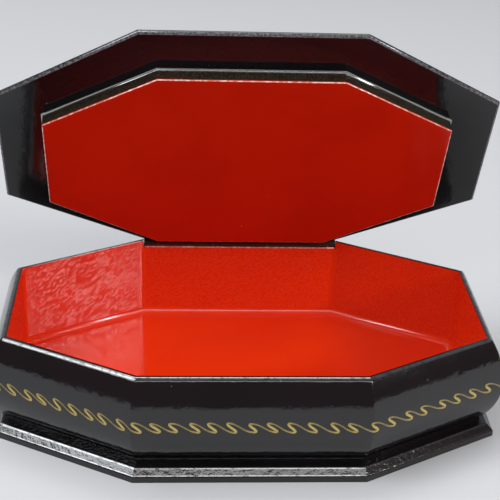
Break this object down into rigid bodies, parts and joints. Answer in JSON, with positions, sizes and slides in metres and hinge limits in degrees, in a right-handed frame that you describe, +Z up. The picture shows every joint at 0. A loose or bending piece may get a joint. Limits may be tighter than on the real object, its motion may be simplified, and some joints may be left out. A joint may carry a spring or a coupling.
{
  "type": "papier-mache lacquer box",
  "caption": "Elongated octagonal lacquer box with bulged black walls, a bevelled plinth, a red interior and a friction-held hinged lid with a raised red inner step.",
  "frame": {"origin": "middle of the plinth's underside", "axes": "+X along the box, +Y from the front to the hinge side, +Z up"},
  "size_m": [0.1084, 0.0676, 0.0819],
  "materials": {
    "black_lacquer": "gloss lacquer",
    "red_lacquer": "gloss lacquer",
    "hinge_metal": "blackened and lacquered",
    "brad_brass": "bare, under lacquer",
    "pin_wire": "drawn wire"
  },
  "bodies": {
    "box": {"plinth": "black_lacquer", "bottom_board": "black_lacquer", "side_wall": "black_lacquer", "wall_lining": "red_lacquer", "floor_lining": "red_lacquer", "hinge_wall_leaf": "hinge_metal", "hinge_wall_brads": "brad_brass", "hinge_pin": "pin_wire"},
    "lid": {"lid_board": "black_lacquer", "lid_step": "black_lacquer", "lid_facing": "red_lacquer", "hinge_lid_leaf": "hinge_metal", "hinge_lid_brads": "brad_brass"}
  },
  "joints": [
    {"name": "lid_hinge", "type": "hinge", "parent": "box", "child": "lid", "pos_m": [0, 0.0303, 0.02255], "axis": [-1, 0, 0], "range_deg": [-67, 33]}
  ]
}
